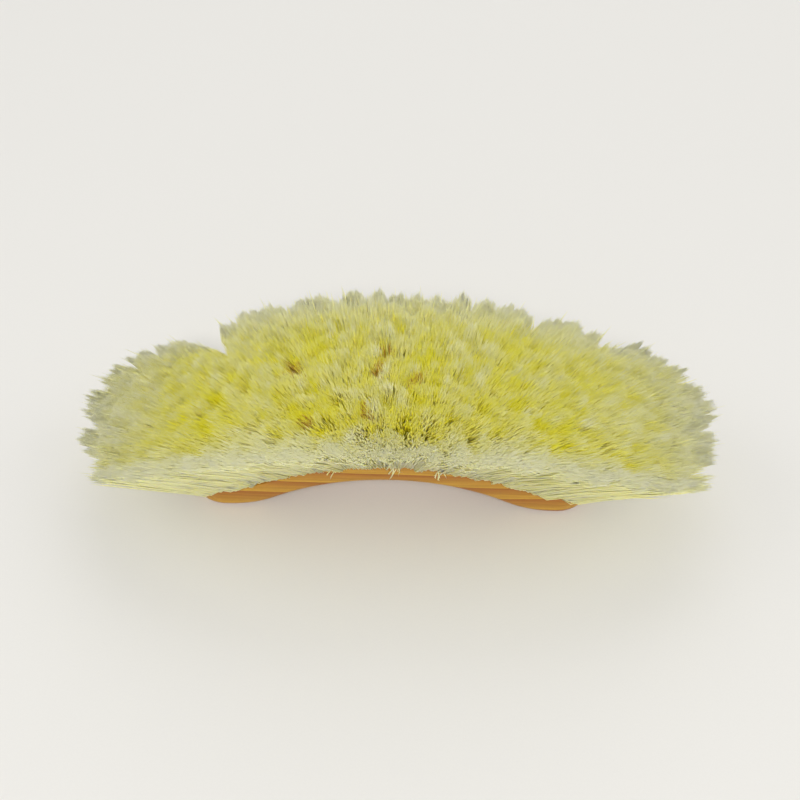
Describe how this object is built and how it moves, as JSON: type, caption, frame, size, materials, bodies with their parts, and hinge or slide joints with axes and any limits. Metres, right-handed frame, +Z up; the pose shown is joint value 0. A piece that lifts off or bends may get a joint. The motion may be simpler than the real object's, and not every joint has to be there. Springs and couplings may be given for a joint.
{
  "type": "horse finishing brush",
  "caption": "Arched wooden hand block with rows of staggered, anchored tufts of soft fibre that fan out past its ends, for smoothing a horse's coat after grooming.",
  "frame": {"origin": "on the surface under the middle of the block, with the brush lying on the two feet of its palm side", "axes": "+X along the block to its right end, +Y from the front rows to the rear rows, +Z up, from the palm side to the bristle tips"},
  "size_m": [0.3178, 0.103, 0.0861],
  "materials": {
    "varnished_wood": "clear satin varnish over straight-grained honey-coloured wood",
    "bristle_fibre": "fine soft fibre, cream on the outside and yellow in the depth of the fan",
    "anchor_wire": "plain flat wire"
  },
  "bodies": {
    "root": {"back_block": "varnished_wood", "bristles_left": "bristle_fibre", "bristles_middle": "bristle_fibre", "bristles_right": "bristle_fibre", "anchor_front_outer_01": "anchor_wire", "anchor_front_outer_02": "anchor_wire", "anchor_front_outer_03": "anchor_wire", "anchor_front_outer_04": "anchor_wire", "anchor_front_outer_05": "anchor_wire", "anchor_front_outer_06": "anchor_wire", "anchor_front_outer_07": "anchor_wire", "anchor_front_outer_08": "anchor_wire", "anchor_front_outer_09": "anchor_wire", "anchor_front_outer_10": "anchor_wire", "anchor_front_outer_11": "anchor_wire", "anchor_front_outer_12": "anchor_wire", "anchor_front_inner_01": "anchor_wire", "anchor_front_inner_02": "anchor_wire", "anchor_front_inner_03": "anchor_wire", "anchor_front_inner_04": "anchor_wire", "anchor_front_inner_05": "anchor_wire", "anchor_front_inner_06": "anchor_wire", "anchor_front_inner_07": "anchor_wire", "anchor_front_inner_08": "anchor_wire", "anchor_front_inner_09": "anchor_wire", "anchor_front_inner_10": "anchor_wire", "anchor_front_inner_11": "anchor_wire", "anchor_front_inner_12": "anchor_wire", "anchor_front_inner_13": "anchor_wire", "anchor_rear_inner_01": "anchor_wire", "anchor_rear_inner_02": "anchor_wire", "anchor_rear_inner_03": "anchor_wire", "anchor_rear_inner_04": "anchor_wire", "anchor_rear_inner_05": "anchor_wire", "anchor_rear_inner_06": "anchor_wire", "anchor_rear_inner_07": "anchor_wire", "anchor_rear_inner_08": "anchor_wire", "anchor_rear_inner_09": "anchor_wire", "anchor_rear_inner_10": "anchor_wire", "anchor_rear_inner_11": "anchor_wire", "anchor_rear_inner_12": "anchor_wire", "anchor_rear_inner_13": "anchor_wire", "anchor_rear_outer_01": "anchor_wire", "anchor_rear_outer_02": "anchor_wire", "anchor_rear_outer_03": "anchor_wire", "anchor_rear_outer_04": "anchor_wire", "anchor_rear_outer_05": "anchor_wire", "anchor_rear_outer_06": "anchor_wire", "anchor_rear_outer_07": "anchor_wire", "anchor_rear_outer_08": "anchor_wire", "anchor_rear_outer_09": "anchor_wire", "anchor_rear_outer_10": "anchor_wire", "anchor_rear_outer_11": "anchor_wire", "anchor_rear_outer_12": "anchor_wire"}
  },
  "joints": []
}
